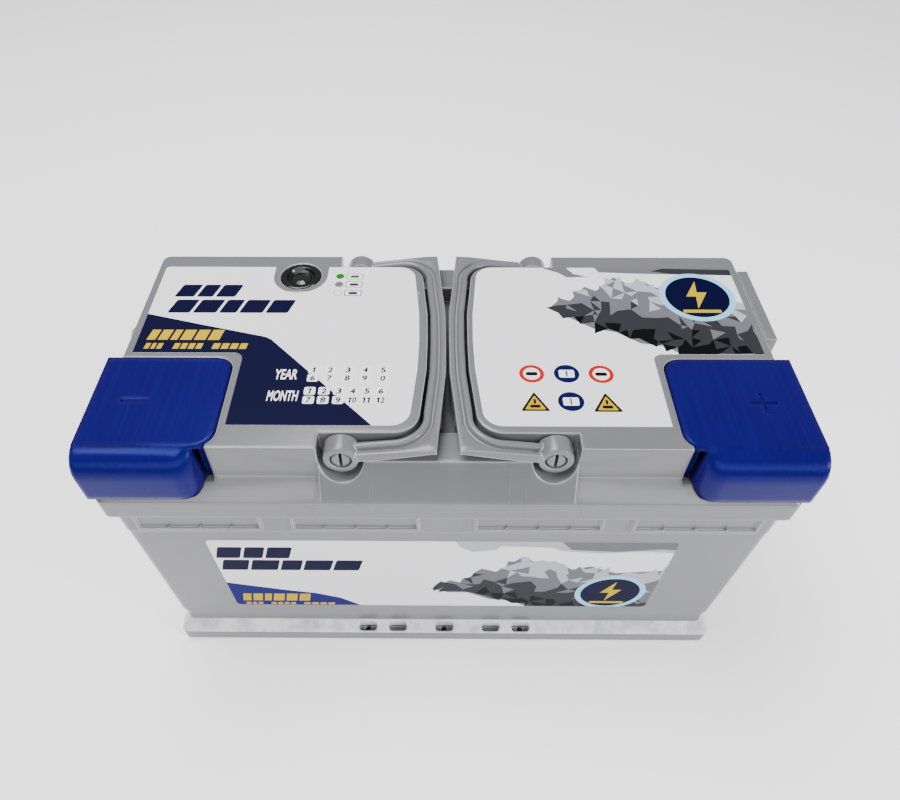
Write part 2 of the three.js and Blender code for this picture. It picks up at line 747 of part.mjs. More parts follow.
function separatorPack(cell, gaps, thickness) {
  const x = cellCentre(cell);
  const half = PLATE_HALF_WIDTH + 1.5;
  const sheets = gaps.map((offset) =>
    box(x + offset - thickness / 2, x + offset + thickness / 2, -half, half, PLATE_Z[0] - 2, PLATE_Z[1] + 2),
  );
  const reach = gaps.at(-1) + thickness / 2;
  const mat = box(x - reach, x + reach, -half, half, PLATE_Z[0] - 3, PLATE_Z[0] - 1.6);
  return joined(mat, ...sheets);
}

function cellPieces(cell) {
  const pitch = 5.8;
  const negativePlates = 5;
  const span = (count, step) => Array.from({ length: count }, (_, i) => (i - (count - 1) / 2) * step);
  // Polarity alternates, so each cell's positive side faces the next cell's negative side.
  const negativeSide = cell % 2 === 0 ? -1 : 1;
  const negativeTab = cell === 0 ? 0 : -1;
  const positiveTab = cell === CELLS - 1 ? 0 : 1;
  const negative = plateGroup(cell, span(negativePlates, 2 * pitch), 1.8, negativeSide, negativeTab);
  const positive = plateGroup(cell, span(negativePlates - 1, 2 * pitch), 2.2, -negativeSide, positiveTab);
  const separators = separatorPack(cell, span(2 * negativePlates - 2, pitch), 1);
  const number = cell + 1;
  return [
    named(`negative_plate_group_${number}`, negative, NEGATIVE_PLATE),
    named(`positive_plate_group_${number}`, positive, POSITIVE_PLATE),
    named(`separator_pack_${number}`, separators, SEPARATOR_PALE),
  ];
}

function cellWeld(i) {
  const x = (cellCentre(i) + cellCentre(i + 1)) / 2;
  const half = PARTITION / 2 + 0.5 - 0.2;
  return rodAlongX(weldSide(i) * STRAP_Y, WELD_Z, x - half, x + half, WELD_R);
}

// ---------------------------------------------------------------- vents and covers
function ventPlug(cell) {
  const seat = LID_TOP - COVER_THICKNESS - GAP;
  const profile = [
    [0, 170],
    [4, 170],
    [4, 178],
    [VENT_R - 0.1, 179],
    [VENT_R - 0.1, seat - 0.4],
    [0, seat - 0.4],
  ];
  return turned(profile, cellCentre(cell), VENT_Y, HIDDEN_SIDES);
}

function ventCoverPlate() {
  const [near, far] = COVER_SPAN;
  const [front, back] = [VENT_Y - COVER_HALF_WIDTH, VENT_Y + COVER_HALF_WIDTH];
  const plan = roundedRectangle(-far, -near, front, back, 1, 2);
  return raised(outline(plan), LID_TOP - COVER_THICKNESS, LID_TOP);
}

function flameArrestor() {
  return rodAlongX(OUTLET_Y, OUTLET_Z, -TOP_HALF_LENGTH + 4, -TOP_HALF_LENGTH + 7, OUTLET_R);
}

function blankingPlug() {
  const stem = rodAlongX(OUTLET_Y, OUTLET_Z, -TOP_HALF_LENGTH - 0.8, -TOP_HALF_LENGTH + 3.5, OUTLET_R - 0.1);
  const head = rodAlongX(OUTLET_Y, OUTLET_Z, -TOP_HALF_LENGTH - 2.4, -TOP_HALF_LENGTH - 0.7, OUTLET_R + 2);
  return joined(stem, head);
}

// The hood over the right-hand gas outlet, open underneath.
function ventHood() {
  const face = TOP_HALF_LENGTH + 1.2;
  const [y0, y1] = [3, 64];
  const [z0, z1] = [175, LID_TOP - 1];
  const body = box(face, OVERHANG_X, y0, y1, z0, z1);
  const hollow = box(face - 1, OVERHANG_X - 1.8, y0 + 1.8, y1 - 1.8, z0 - 1, z1 - 1.8);
  const spigot = rodAlongX(OUTLET_Y, OUTLET_Z, TOP_HALF_LENGTH - 3, OVERHANG_X - 1, OUTLET_R - 0.1);
  const bore = rodAlongX(OUTLET_Y, OUTLET_Z, TOP_HALF_LENGTH - 4, OVERHANG_X - 3, 2, 12);
  return cut(joined(cut(body, hollow), spigot), bore);
}

// ---------------------------------------------------------------- charge indicator
function indicatorBody() {
  const top = LID_TOP + 0.4;
  const profile = [
    [6, 172],
    [INDICATOR_NECK_R, 172],
    [INDICATOR_NECK_R, LID_TOP - 2.4],
    [INDICATOR_R, LID_TOP - 2.4],
    [INDICATOR_R, top - 0.6],
    [INDICATOR_R - 0.6, top],
    [8.4, top],
    [7.6, LID_TOP - 1.4],
    [6, LID_TOP - 1.4],
    [6, 172],
  ];
  return turned(profile, EYE_X, INDICATOR_Y, INDICATOR_SIDES);
}

function indicatorSeal() {
  const profile = [
    [8.9, LID_TOP - 4.2],
    [9.15, LID_TOP - 4.2],
    [9.15, LID_TOP - 3],
    [8.9, LID_TOP - 3],
    [8.9, LID_TOP - 4.2],
  ];
  return turned(profile, EYE_X, INDICATOR_Y, INDICATOR_SIDES);
}

// The clear rod that shows the ball: a lens above, a cage below whose floor carries the ball.
function indicatorRod() {
  const stem = turned(
    [
      [0, 150],
      [3.4, 150],
      [3.4, 174],
      [5.8, 176],
      [5.8, LID_TOP - 1.6],
      [3, LID_TOP - 1],
      [0, LID_TOP - 0.8],
    ],
    EYE_X,
    INDICATOR_Y,
    HIDDEN_SIDES,
  );
  const cage = cut(
    rod(EYE_X, INDICATOR_Y, 133, 150.5, 3.4, HIDDEN_SIDES),
    rod(EYE_X, INDICATOR_Y, 134.2, 149.5, 2.6, HIDDEN_SIDES),
    box(EYE_X - 5, EYE_X + 5, INDICATOR_Y - 1, INDICATOR_Y + 1, 134.2, 149.5),
  );
  return joined(stem, cage);
}

function indicatorBall() {
  const geometry = new THREE.SphereGeometry(2.2, 8, 6);
  return solid(geometry.translate(EYE_X, INDICATOR_Y, 147));
}

// ---------------------------------------------------------------- labels
function topLabelPlan(withIndicator) {
  const front = -61.8;
  const back = 65;
  const step = -10.4;
  const outer = -168;
  const shoulder = -108.6;
  const corner = 10;
  const inner = withIndicator ? -15.3 : -13.7;
  const aroundIndicator = 15.9;
  const notch = withIndicator
    ? [
        [EYE_X + aroundIndicator, back],
        ...arc(EYE_X, INDICATOR_Y, aroundIndicator, 0, -180, 10),
        [EYE_X - aroundIndicator, back],
      ]
    : [];
  return outline([
    [outer, step],
    ...arc(shoulder - 5, step - 5, 5, 90, 0, 4),
    [shoulder, front],
    ...arc(inner - 3.3 - corner, front + corner, corner, 270, 354, 5),
    [inner, 0],
    ...arc(inner - 3.3 - corner, back - corner, corner, 6, 90, 5),
    ...notch,
    ...arc(outer + 2, back - 2, 2, 90, 180, 3),
  ]);
}

function topLabel(withIndicator) {
  return raised(topLabelPlan(withIndicator), LID_TOP + 0.1, LID_TOP + 0.1 + LABEL_THICKNESS);
}

// The front label lies on the container's drafted wall.
function frontLabel() {
  const [low, high] = FRONT_LABEL_Z;
  const wallAt = (z) => -THREE.MathUtils.mapLinear(z, 30, 128, WALL_Y_LOW + 0.2, 83.3) - GAP;
  const plan = outline(roundedRectangle(...FRONT_LABEL_X, low, high, 3, 3));
  const geometry = extruded(plan, LABEL_THICKNESS).rotateX(Math.PI / 2);
  const lean = Math.atan2(wallAt(low) - wallAt(high), high - low);
  geometry.translate(0, 0, -low).rotateX(lean).translate(0, wallAt(low), low);
  return solid(geometry);
}

// ---------------------------------------------------------------- assembly
const battery = new THREE.Group();
battery.add(container(), lid());

const leftSide = new THREE.Group();
leftSide.add(
  named("vent_cover_left", ventCoverPlate(), CASE_GREY),
  named("handle_left", handle(), HANDLE_GREY),
  named("handle_pin_front_left", handlePin(-1), HANDLE_GREY),
  named("handle_pin_back_left", handlePin(1), HANDLE_GREY),
  named("terminal_cap_negative", terminalCap(false), COVER_BLUE),
  named("terminal_bushing_negative", bushing(), LEAD),
  named("terminal_post_negative", post(7.95), LEAD),
  named("flame_arrestor_left", flameArrestor(), FRIT_WHITE),
  named("vent_blanking_plug", blankingPlug(), VENT_GREY),
  named("indicator_body", indicatorBody(), INDICATOR_BLACK),
  named("indicator_seal", indicatorSeal(), SEAL_BLACK),
  named("indicator_rod", indicatorRod(), LENS_DARK),
  named("indicator_ball", indicatorBall(), BALL_GREEN),
  named("label_top_left", topLabel(true), LABEL_WHITE),
);

const rightSide = new THREE.Group();
rightSide.scale.x = -1;
rightSide.add(
  named("vent_cover_right", ventCoverPlate(), CASE_GREY),
  named("handle_right", handle(), HANDLE_GREY),
  named("handle_pin_front_right", handlePin(-1), HANDLE_GREY),
  named("handle_pin_back_right", handlePin(1), HANDLE_GREY),
  named("terminal_cap_positive", terminalCap(true), COVER_BLUE),
  named("terminal_bushing_positive", bushing(), LEAD),
  named("terminal_post_positive", post(8.75), LEAD),
  named("flame_arrestor_right", flameArrestor(), FRIT_WHITE),
  named("label_top_right", topLabel(false), LABEL_WHITE),
);

battery.add(leftSide, rightSide);
battery.add(named("vent_hood", ventHood(), CASE_GREY), named("label_front", frontLabel(), LABEL_WHITE));
for (let cell = 0; cell < CELLS; cell += 1) {
  battery.add(...cellPieces(cell));
  battery.add(named(`filling_plug_${cell + 1}`, ventPlug(cell), VENT_GREY));
}
for (let i = 0; i < CELLS - 1; i += 1) {
  battery.add(named(`cell_weld_${i + 1}`, cellWeld(i), LEAD));
}

export default battery;
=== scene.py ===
# A flooded battery in its grey case: folded carrying handles, blue terminal covers and printed labels.
# Metres; +X along the battery, -Y towards the labelled long side, +Z up.
import math

import bmesh
import bpy
import numpy as np
from mathutils import Matrix, Vector
from mathutils.bvhtree import BVHTree
from mathutils.geometry import delaunay_2d_cdt


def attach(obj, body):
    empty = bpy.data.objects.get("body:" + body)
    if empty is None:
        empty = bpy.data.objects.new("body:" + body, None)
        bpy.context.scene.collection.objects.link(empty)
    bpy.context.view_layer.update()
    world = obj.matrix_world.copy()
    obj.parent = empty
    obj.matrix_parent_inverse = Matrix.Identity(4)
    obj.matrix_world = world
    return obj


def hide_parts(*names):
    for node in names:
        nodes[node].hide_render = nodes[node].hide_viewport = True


MM = 0.001
# Labels, in millimetres.
LABEL_TOP = 189.75  # printed face of the two top labels
FILM = 0.25
FRONT_LABEL = (-133, 39.5, 128, 119)  # low left and high right corners
FRONT_WALL = (-81.63, -83.12)  # Y of the wall at the front label's low and high edges
FRONT_PROUD = 0.02
LABEL_EDGE_X = -168
CAP_ROUND = (-113.6, -15.4)  # centre of the round inner corner beside a terminal cover
INDICATOR = (-86.4, 56.4)
BADGE_RADIUS = 21.5
CHIP_SHIFT = 0.42  # how far a chip's corner may stray, as a share of the spacing
# Shares of a band's width that the blocks standing in for type take up.
TITLE_SHORT = (1.1, 0.9, 1.1)
TITLE_LONG = (1.1, 1.15, 0.85, 1.15, 1.1)
RATING = (0.6, 0.7, 0.5, 0.8, 0.8, 0.8)
SMALL_PRINT = ((1, 0.8, 1), (1, 1, 1, 1), (1, 1, 1, 1))
FIGURE_ONE = ((-0.5, -1.95), (0.45, -1.95), (0.85, 1.95), (0.1, 1.95), (-0.8, 1.2), (-0.7, 0.5), (-0.1, 0.8))
ROCK_TONES = (
    "black ink",
    "dark grey ink",
    "dark grey ink",
    "mid grey ink",
    "mid grey ink",
    "light grey ink",
    "light grey ink",
)
# Handle, in millimetres: heights are given against X, from the eye towards the middle of the battery.
PIVOT = (-52.0, 181.0)
WEB_TOP = ([-52, -32, -14, 0], [184.6, 186.8, 189.0, 189.6])
RIB_TOP = ([-52, -44, -28, -16, 0], [185.6, 187.2, 189.1, 189.9, 189.9])
UNDERSIDE = ([-52, -46, -43.6, -36, -8, 0], [177.2, 178.5, 180.7, 181.1, 186.3, 186.3])
RIB_RADIUS = 2.0
RIB_HEIGHT = 1.9
ARM_X = (-45.2, -28.5)
ARM_INNER_Y = -69.3
ARM_OUTER_Y = -77.1
BEND_OUTER_Y = -77.2
BEND_CENTRE = (-27.1, -54.3)
BEND_RADIUS = 15
GRIP_HALF = 52.0
GRIP_LOW = 176.1
EYE_PROFILE = (  # radius and Y round the edge of the eye's cut ring
    (5.4, 67),
    (8.2, 67),
    (8.7, 67.5),
    (8.7, 76.0),
    (8.55, 76.7),
    (8.1, 77.15),
    (7.5, 77.2),
    (6.1, 77.2),
    (5.6, 77.0),
    (5.4, 76.5),
)
# Rib frames under the lid's flange, in millimetres.
RIB_FRAMES = ((14.5, 82), (97.5, 164))  # ends of the frames on one half of a long side
GUSSET_Y = 84.4
GUSSET_Z = 134.4
# Mould lines down the lid: X at the top, X at the bottom, Z at the top, in millimetres.
MOULD_LINES = ((-38, -40, 177), (30, 31, 177), (38, 39, 172), (-65, -69, 168), (65, 68.5, 168))
MOULD_LINE_LOW = 147.5
MOULD_LINE_STEPS = 30
LID_REACH = 120  # a distance that is clear of the lid on its long sides
SLOPE_NEAR = 0.06  # metres; nearer to the middle than this is no slope
# Camera and lights, in metres.
CAMERA_PLACE = (-0.00583, -0.28152, 0.43576)
CAMERA_ANGLES = (0.623, 37.626, -0.219)  # degrees: heading, tilt up from straight down, roll
CAMERA_LENS = 27.131  # millimetres, for a frame of the width below
CAMERA_FRAME = 36
CAMERA_SHIFT = (0.02044, 0.08321)  # shares of the frame's width
FLOOR_REACH = 4
FLOOR_GLOW = 0.55
ROOM_GLOW = 0.28
LIGHTS = (  # name, place, target, size, watts
    ("overhead", (-0.4, 0.3, 1.5), (0, 0, 0.1), (1.2, 0.7), 34),
    ("front box", (0.1, -1.55, 1.2), (0, 0, 0.15), (2.6, 0.8), 27),
    ("side box", (1.4, -0.65, 0.8), (0, 0, 0.15), (0.5, 0.5), 19),
)

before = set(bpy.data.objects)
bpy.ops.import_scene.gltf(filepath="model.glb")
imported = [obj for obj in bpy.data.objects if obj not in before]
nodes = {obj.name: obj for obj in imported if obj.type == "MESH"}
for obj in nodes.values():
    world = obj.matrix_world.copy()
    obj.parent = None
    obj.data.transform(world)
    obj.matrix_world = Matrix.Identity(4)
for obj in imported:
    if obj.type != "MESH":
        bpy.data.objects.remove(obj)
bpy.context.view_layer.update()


# ---------------------------------------------------------------- materials
def colour(code):
    """A hex colour as linear values."""
    parts = [int(code[i : i + 2], 16) / 255 for i in (1, 3, 5)]
    return [p / 12.92 if p <= 0.04045 else ((p + 0.055) / 1.055) ** 2.4 for p in parts] + [1.0]


def shader_group(name, inputs, outputs):
    """An empty shader group with its sockets, and the two nodes that carry them."""
    group = bpy.data.node_groups.new(name, "ShaderNodeTree")
    for label, kind, value in inputs:
        socket = group.interface.new_socket(label, in_out="INPUT", socket_type=kind)
        socket.default_value = value
    for label, kind in outputs:
        group.interface.new_socket(label, in_out="OUTPUT", socket_type=kind)
    start = group.nodes.new("NodeGroupInput")
    end = group.nodes.new("NodeGroupOutput")
    return group, start, end


def add(tree, kind, **values):
    """A node with some of its inputs and settings filled in."""
    node = tree.nodes.new(kind)
    for key, value in values.items():
        if key in node.inputs:
            node.inputs[key].default_value = value
        else:
            setattr(node, key, value)
    return node


def grain_group():
    """Fine moulded grain: a surface normal and a slow mottling between 0 and 1."""
    group, start, end = shader_group(
        "moulded grain",
        [
            ("Grain per metre", "NodeSocketFloat", 1800.0),
            ("Depth", "NodeSocketFloat", 0.00002),
            ("Edge radius", "NodeSocketFloat", 0.0),
            ("Mottling per metre", "NodeSocketFloat", 30.0),
        ],
        [("Normal", "NodeSocketVector"), ("Mottling", "NodeSocketFloat")],
    )
    place = add(group, "ShaderNodeTexCoord")
    fine = add(group, "ShaderNodeTexNoise", Detail=3.0, Roughness=0.6)
    slow = add(group, "ShaderNodeTexNoise", Detail=4.0, Roughness=0.55)
    bump = add(group, "ShaderNodeBump", Strength=1.0)
    edge = add(group, "ShaderNodeBevel", samples=8)
    link = group.links.new
    link(place.outputs["Object"], fine.inputs["Vector"])
    link(place.outputs["Object"], slow.inputs["Vector"])
    link(start.outputs["Grain per metre"], fine.inputs["Scale"])
    link(start.outputs["Mottling per metre"], slow.inputs["Scale"])
    link(start.outputs["Depth"], bump.inputs["Distance"])
    link(fine.outputs["Fac"], bump.inputs["Height"])
    link(bump.outputs["Normal"], end.inputs["Normal"])
    link(slow.outputs["Fac"], end.inputs["Mottling"])
    link(start.outputs["Edge radius"], edge.inputs["Radius"])
    link(edge.outputs["Normal"], bump.inputs["Normal"])
    return group


def streak_group():
    """Faint drawn-out marks along Y, from 0 to the stated strength."""
    group, start, end = shader_group(
        "lengthwise streaks",
        [("Lines per metre", "NodeSocketFloat", 650.0), ("Strength", "NodeSocketFloat", 0.04)],
        [("Mask", "NodeSocketFloat")],
    )
    place = add(group, "ShaderNodeTexCoord")
    stretch = add(group, "ShaderNodeMapping", Scale=(1.0, 0.03, 1.0))
    noise = add(group, "ShaderNodeTexNoise", Detail=4.0, Roughness=0.65)
    level = add(group, "ShaderNodeMapRange", **{"From Min": 0.45, "From Max": 0.72})
    link = group.links.new
    link(place.outputs["Object"], stretch.inputs["Vector"])
    link(stretch.outputs["Vector"], noise.inputs["Vector"])
    link(start.outputs["Lines per metre"], noise.inputs["Scale"])
    link(noise.outputs["Fac"], level.inputs["Value"])
    link(start.outputs["Strength"], level.inputs["To Max"])
    link(level.outputs["Result"], end.inputs["Mask"])
    return group


def foot_highlight_group():
    """Painted highlight on the sloped top of the foot: a band of heights, broken up unevenly along the case.
    """
    group, start, end = shader_group(
        "painted foot ledge highlight",
        [
            ("Low edge", "NodeSocketFloat", 0.0103),
            ("High edge", "NodeSocketFloat", 0.0178),
            ("Strength", "NodeSocketFloat", 0.9),
        ],
        [("Mask", "NodeSocketFloat")],
    )
    place = add(group, "ShaderNodeTexCoord")
    parts = add(group, "ShaderNodeSeparateXYZ")
    above = add(group, "ShaderNodeMath", operation="GREATER_THAN")
    below = add(group, "ShaderNodeMath", operation="LESS_THAN")
    both = add(group, "ShaderNodeMath", operation="MULTIPLY")
    stretch = add(group, "ShaderNodeMapping", Scale=(1.0, 1.0, 0.3))
    noise = add(group, "ShaderNodeTexNoise", Scale=70.0, Detail=5.0, Roughness=0.7)
    highlight_breakup = add(group, "ShaderNodeMapRange", **{"From Min": 0.3, "From Max": 0.62, "To Min": 0.35})
    broken_highlight = add(group, "ShaderNodeMath", operation="MULTIPLY")
    link = group.links.new
    link(place.outputs["Object"], parts.inputs["Vector"])
    link(parts.outputs["Z"], above.inputs[0])
    link(start.outputs["Low edge"], above.inputs[1])
    link(parts.outputs["Z"], below.inputs[0])
    link(start.outputs["High edge"], below.inputs[1])
    link(above.outputs["Value"], both.inputs[0])
    link(below.outputs["Value"], both.inputs[1])
    link(place.outputs["Object"], stretch.inputs["Vector"])
    link(stretch.outputs["Vector"], noise.inputs["Vector"])
    link(noise.outputs["Fac"], highlight_breakup.inputs["Value"])
    link(start.outputs["Strength"], highlight_breakup.inputs["To Max"])
    link(both.outputs["Value"], broken_highlight.inputs[0])
    link(highlight_breakup.outputs["Result"], broken_highlight.inputs[1])
    link(broken_highlight.outputs["Value"], end.inputs["Mask"])
    return group


def edge_highlight_group():
    """Painted highlight along edges, hollow and convex alike: from 0 on the flats to the stated strength on
    the edges.
    """
    group, start, end = shader_group(
        "painted edge highlights",
        [("Width", "NodeSocketFloat", 0.0012), ("Strength", "NodeSocketFloat", 0.55)],
        [("Mask", "NodeSocketFloat")],
    )
    soft = add(group, "ShaderNodeBevel", samples=8)
    plain = add(group, "ShaderNodeNewGeometry")
    likeness = add(group, "ShaderNodeVectorMath", operation="DOT_PRODUCT")
    level = add(group, "ShaderNodeMapRange", **{"From Min": 0.995, "From Max": 0.88})
    link = group.links.new
    link(start.outputs["Width"], soft.inputs["Radius"])
    link(soft.outputs["Normal"], likeness.inputs[0])
    link(plain.outputs["Normal"], likeness.inputs[1])
    link(likeness.outputs["Value"], level.inputs["Value"])
    link(start.outputs["Strength"], level.inputs["To Max"])
    link(level.outputs["Result"], end.inputs["Mask"])
    return group


GRAIN = grain_group()
STREAKS = streak_group()
FOOT_HIGHLIGHT = foot_highlight_group()
EDGE_HIGHLIGHT = edge_highlight_group()


def surface(name, dark, light, roughness, grain=1800.0, depth=0.00002, mottling=30.0, edge=0.0, **settings):
    """A moulded or cast surface whose colour drifts between two close tones."""
    material = bpy.data.materials.new(name)
    material.use_nodes = True
    tree = material.node_tree
    shader = tree.nodes["Principled BSDF"]
    texture = add(tree, "ShaderNodeGroup", node_tree=GRAIN)
    texture.inputs["Grain per metre"].default_value = grain
    texture.inputs["Depth"].default_value = depth
    texture.inputs["Mottling per metre"].default_value = mottling
    texture.inputs["Edge radius"].default_value = edge
    mix = add(tree, "ShaderNodeMix", data_type="RGBA")
    mix.inputs["A"].default_value = colour(dark)
    mix.inputs["B"].default_value = colour(light)
    tree.links.new(texture.outputs["Mottling"], mix.inputs["Factor"])
    tree.links.new(mix.outputs["Result"], shader.inputs["Base Color"])
    tree.links.new(texture.outputs["Normal"], shader.inputs["Normal"])
    shader.inputs["Roughness"].default_value = roughness
    for key, value in settings.items():
        shader.inputs[key.replace("_", " ")].default_value = value
    return material


def overlay(material, mask_group, code):
    """A second colour laid over the base colour where the group's mask says."""
    tree = material.node_tree
    target = tree.nodes["Principled BSDF"].inputs["Base Color"]
    mask = add(tree, "ShaderNodeGroup", node_tree=mask_group)
    mix = add(tree, "ShaderNodeMix", data_type="RGBA")
    mix.inputs["B"].default_value = colour(code)
    tree.links.new(mask.outputs["Mask"], mix.inputs["Factor"])
    tree.links.new(target.links[0].from_socket, mix.inputs["A"])
    tree.links.new(mix.outputs["Result"], target)


CASE = surface("case grey polypropylene", "#646468", "#6f6f73", 0.2, edge=0.0024, Specular_IOR_Level=0.6)
HANDLE = surface(
    "handle grey polypropylene",
    "#656568",
    "#6f6f72",
    0.26,
    depth=0.00003,
    edge=0.0007,
    Specular_IOR_Level=0.5,
)
BLUE = surface(
    "blue cover plastic",
    "#12044e",
    "#17065a",
    0.2,
    depth=0.00001,
    edge=0.004,
    Specular_IOR_Level=0.22,
    Specular_Tint=(0.12, 0.3, 1.0, 1.0),
)
# Painted highlights: the edges of the case and the handles are lightened in their colour.
overlay(CASE, EDGE_HIGHLIGHT, "#e0e0e3")
overlay(HANDLE, EDGE_HIGHLIGHT, "#d8d8da")
# Painted highlight: the sloped top of the foot is lightened in its colour.
overlay(CASE, FOOT_HIGHLIGHT, "#f2f2f4")
overlay(BLUE, STREAKS, "#3a44b0")
BLACK = surface("indicator black", "#050506", "#0a0a0c", 0.22, depth=0.00001)
CLEAR = surface("indicator clear rod", "#1c1e1d", "#262927", 0.06, depth=0.0, Transmission_Weight=0.35)
GREEN = surface("float ball green", "#3c8f38", "#48a043", 0.3)
SEAL = surface("seal rubber", "#161616", "#1f1f1f", 0.8)
VENT = surface("vent grey", "#777a80", "#83868c", 0.5)
FRIT = surface("porous frit", "#cfccc4", "#e0ddd5", 0.9, grain=3000.0, depth=0.0001)
PAPER = surface("separator sheet", "#bdb6a0", "#cfc8b4", 0.8, grain=900.0, depth=0.00008)
LEAD = surface("cast lead", "#7d8086", "#a0a3a8", 0.42, grain=500.0, depth=0.00008, Metallic=0.9)
PASTE_BROWN = surface("positive paste", "#3d2619", "#5a3a29", 0.9, grain=700.0, depth=0.0002)
PASTE_GREY = surface("negative paste", "#62666a", "#7b7f84", 0.8, grain=700.0, depth=0.0002)

INKS = {
    "white film": "#e6e5ea",
    "navy ink": "#02032a",
    "blue ink": "#120f62",
    "yellow ink": "#bea000",
    "light grey ink": "#a6a7ae",
    "mid grey ink": "#63646b",
    "dark grey ink": "#2c2d31",
    "black ink": "#08080a",
    "red ink": "#b80c06",
    "sky ink": "#050842",
    "amber ink": "#b89a00",
    "green ink": "#087010",
    "ice ink": "#8cc8e8",
    "pale ink": "#f2f2f4",
}
INK = {
    name: surface(name, code, code, 0.5, grain=700.0, depth=0.00001, Specular_IOR_Level=0.06)
    for name, code in INKS.items()
}


# ---------------------------------------------------------------- helpers for solids
def new_object(name, data):
    """An object of the data, placed in the scene."""
    made = bpy.data.objects.new(name, data)
    bpy.context.scene.collection.objects.link(made)
    return made


def mesh_of(bm, name):
    """The finished mesh of a bmesh, which is freed."""
    mesh = bpy.data.meshes.new(name)
    bm.to_mesh(mesh)
    bm.free()
    return mesh


def link_piece(name, mesh, materials, body, slot, *stands_for):
    """A finished piece on its body, in place of the CAD nodes it stands for; the slot is not used."""
    piece = new_object(name, mesh)
    for material in materials:
        mesh.materials.append(material)
    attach(piece, body)
    if stands_for:
        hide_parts(*stands_for)


def evaluated(data, prepare=None):
    """The mesh of some data after the modifiers that prepare puts on its object."""
    temporary = new_object("temporary", data)
    if prepare:
        prepare(temporary)
    graph = bpy.context.evaluated_depsgraph_get()
    result = bpy.data.meshes.new_from_object(temporary.evaluated_get(graph))
    bpy.data.objects.remove(temporary)
    return result


def rounded(mesh, radius, segments=2):
    """The mesh with its sharp edges rounded off; the radius is in millimetres."""

    def prepare(thing):
        bevel = thing.modifiers.new("rounded edges", "BEVEL")
        bevel.width = radius * MM
        bevel.segments = segments
        bevel.limit_method = "ANGLE"
        bevel.angle_limit = math.radians(30)
        bevel.harden_normals = True
        bevel.use_clamp_overlap = True
        shading = thing.modifiers.new("flat faces stay flat", "WEIGHTED_NORMAL")
        shading.weight = 100
        shading.keep_sharp = True

    for polygon in mesh.polygons:
        polygon.use_smooth = True
    return evaluated(mesh, prepare)


def cad_copy(node):
    """A CAD node's mesh, welded and with its coplanar facets joined."""
    bm = bmesh.new()
    bm.from_mesh(nodes[node].data)
    bmesh.ops.remove_doubles(bm, verts=bm.verts, dist=0.002 * MM)
    bmesh.ops.dissolve_limit(bm, angle_limit=math.radians(1), verts=bm.verts, edges=bm.edges)
    return mesh_of(bm, node)


# ---------------------------------------------------------------- plan shapes, in millimetres
def arc(x, y, radius, start, end, steps=10):
    """Points along an arc; the angles are in degrees."""
    angles = [math.radians(start + (end - start) * i / steps) for i in range(steps + 1)]
    return [(x + radius * math.cos(a), y + radius * math.sin(a)) for a in angles]


def disc(x, y, radius, steps=40):
    return arc(x, y, radius, 0, 360 - 360 / steps, steps - 1)


def rounded_box(x0, y0, x1, y1, radius):
    return (
        arc(x1 - radius, y0 + radius, radius, -90, 0, 5)
        + arc(x1 - radius, y1 - radius, radius, 0, 90, 5)
        + arc(x0 + radius, y1 - radius, radius, 90, 180, 5)
        + arc(x0 + radius, y0 + radius, radius, 180, 270, 5)
    )


def rounded_corners(points, radius, steps=5):
    """A closed outline with every corner eased by a small curve."""
    eased = []
    for i, here in enumerate(points):
        before, after = Vector(points[i - 1]), Vector(points[(i + 1) % len(points)])
        middle = Vector(here)
        into = (before - middle).normalized() * min(radius, (before - middle).length / 2)
        out = (after - middle).normalized() * min(radius, (after - middle).length / 2)
        for step in range(steps + 1):
            t = step / steps
            eased.append(tuple(middle + into * (1 - t) ** 2 + out * t**2))
    return eased


def slanted_blocks(x0, x1, y0, y1, widths, gap, lean):
    """A row of leaning blocks that fills a band; widths are shares of it."""
    slope = lean * (y1 - y0)
    room = x1 - x0 - slope - gap * (len(widths) - 1)
    scale = room / sum(widths)
    shapes = []
    x = x0
    for width in widths:
        right = x + width * scale
        shapes.append([(x, y0), (right, y0), (right + slope, y1), (x + slope, y1)])
        x = right + gap
    return shapes


def segments_of(*loops):
    """Boundary segments of closed outlines, as rows of x1, y1, x2, y2."""
    return np.array([(*loop[i - 1], *loop[i]) for loop in loops for i in range(len(loop))])


def word(body, x, y, height, width, weight, lean):
    """Boundary segments of a line of type of a stated height and width, centred on a point."""
    curve = bpy.data.curves.new("type", "FONT")
    curve.body = body
    curve.offset = weight
    curve.resolution_u = 3
    mesh = evaluated(curve)
    bm = bmesh.new()
    bm.from_mesh(mesh)
    bmesh.ops.remove_doubles(bm, verts=bm.verts, dist=1e-5)
    rim = [e for e in bm.edges if len(e.link_faces) == 1]
    ends = np.array([[v.co.xy for v in e.verts] for e in rim])
    bm.free()
    bpy.data.meshes.remove(mesh)
    low, high = ends.min((0, 1)), ends.max((0, 1))
    ends = (ends - (low + high) / 2) * ((width, height) / (high - low))
    ends[..., 0] += ends[..., 1] * lean
    return (ends + (x, y)).reshape(-1, 4)


def inside(centres, segments):
    """Which of the points lie within closed boundaries."""
    x, y = centres[:, :1], centres[:, 1:]
    x1, y1, x2, y2 = segments.T
    rise = np.where(y2 == y1, 1.0, y2 - y1)
    crossing = ((y1 > y) != (y2 > y)) & (x < (x2 - x1) * (y - y1) / rise + x1)
    return crossing.sum(1) % 2 == 1


